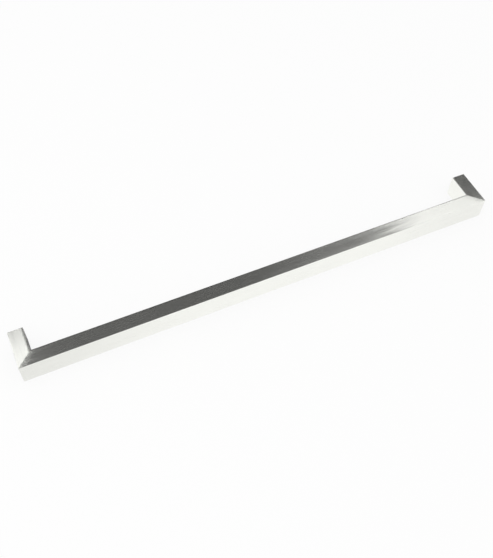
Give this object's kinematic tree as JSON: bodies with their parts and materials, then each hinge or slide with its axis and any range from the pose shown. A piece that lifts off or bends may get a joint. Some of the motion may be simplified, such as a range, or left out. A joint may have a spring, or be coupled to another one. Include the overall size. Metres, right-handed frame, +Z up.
{
  "type": "oven door handle",
  "caption": "Straight box-section bar handle with mitred corners and short square legs, screwed to an oven door from inside.",
  "frame": {"origin": "middle of the underside of the handle's box, which is the face that it lies on in the picture", "axes": "+X along the grip, +Y from the grip to the oven door, +Z up, as the handle is fitted and as it lies"},
  "size_m": [0.51, 0.042, 0.025],
  "materials": {
    "brushed_aluminium": "fine brushed grain along each tube, clear anodised",
    "cast_aluminium": "plain die-cast",
    "black_nylon": "moulded, slightly grainy",
    "turned_brass": "turned and knurled"
  },
  "bodies": {
    "root": {"grip_bar": "brushed_aluminium", "left_leg": "brushed_aluminium", "right_leg": "brushed_aluminium", "left_corner_cleat": "cast_aluminium", "right_corner_cleat": "cast_aluminium", "left_end_plug": "black_nylon", "right_end_plug": "black_nylon", "left_threaded_insert": "turned_brass", "right_threaded_insert": "turned_brass"}
  },
  "joints": []
}
